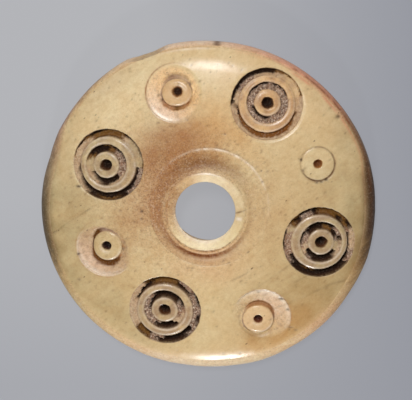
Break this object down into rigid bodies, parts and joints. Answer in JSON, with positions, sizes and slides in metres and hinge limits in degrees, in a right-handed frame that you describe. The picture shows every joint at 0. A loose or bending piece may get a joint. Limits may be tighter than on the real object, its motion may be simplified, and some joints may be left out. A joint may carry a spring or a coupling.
{
  "type": "bone spindle whorl",
  "caption": "Domed bone disc with a central spindle hole, a low lip around it and ring-and-dot motifs cut into its upper side.",
  "frame": {"origin": "where the bore's axis meets the flat underside, which is the centre of the bottom of the box", "axes": "+Z along the bore, from the flat underside to the domed upper side; +Y towards the edge that is at the top of the picture, +X towards its right"},
  "size_m": [0.033, 0.033, 0.0044],
  "materials": {
    "bone": "polished old bone, cream to amber, with dark dirt in the cut rings"
  },
  "bodies": {
    "root": {"whorl": "bone"}
  },
  "joints": []
}
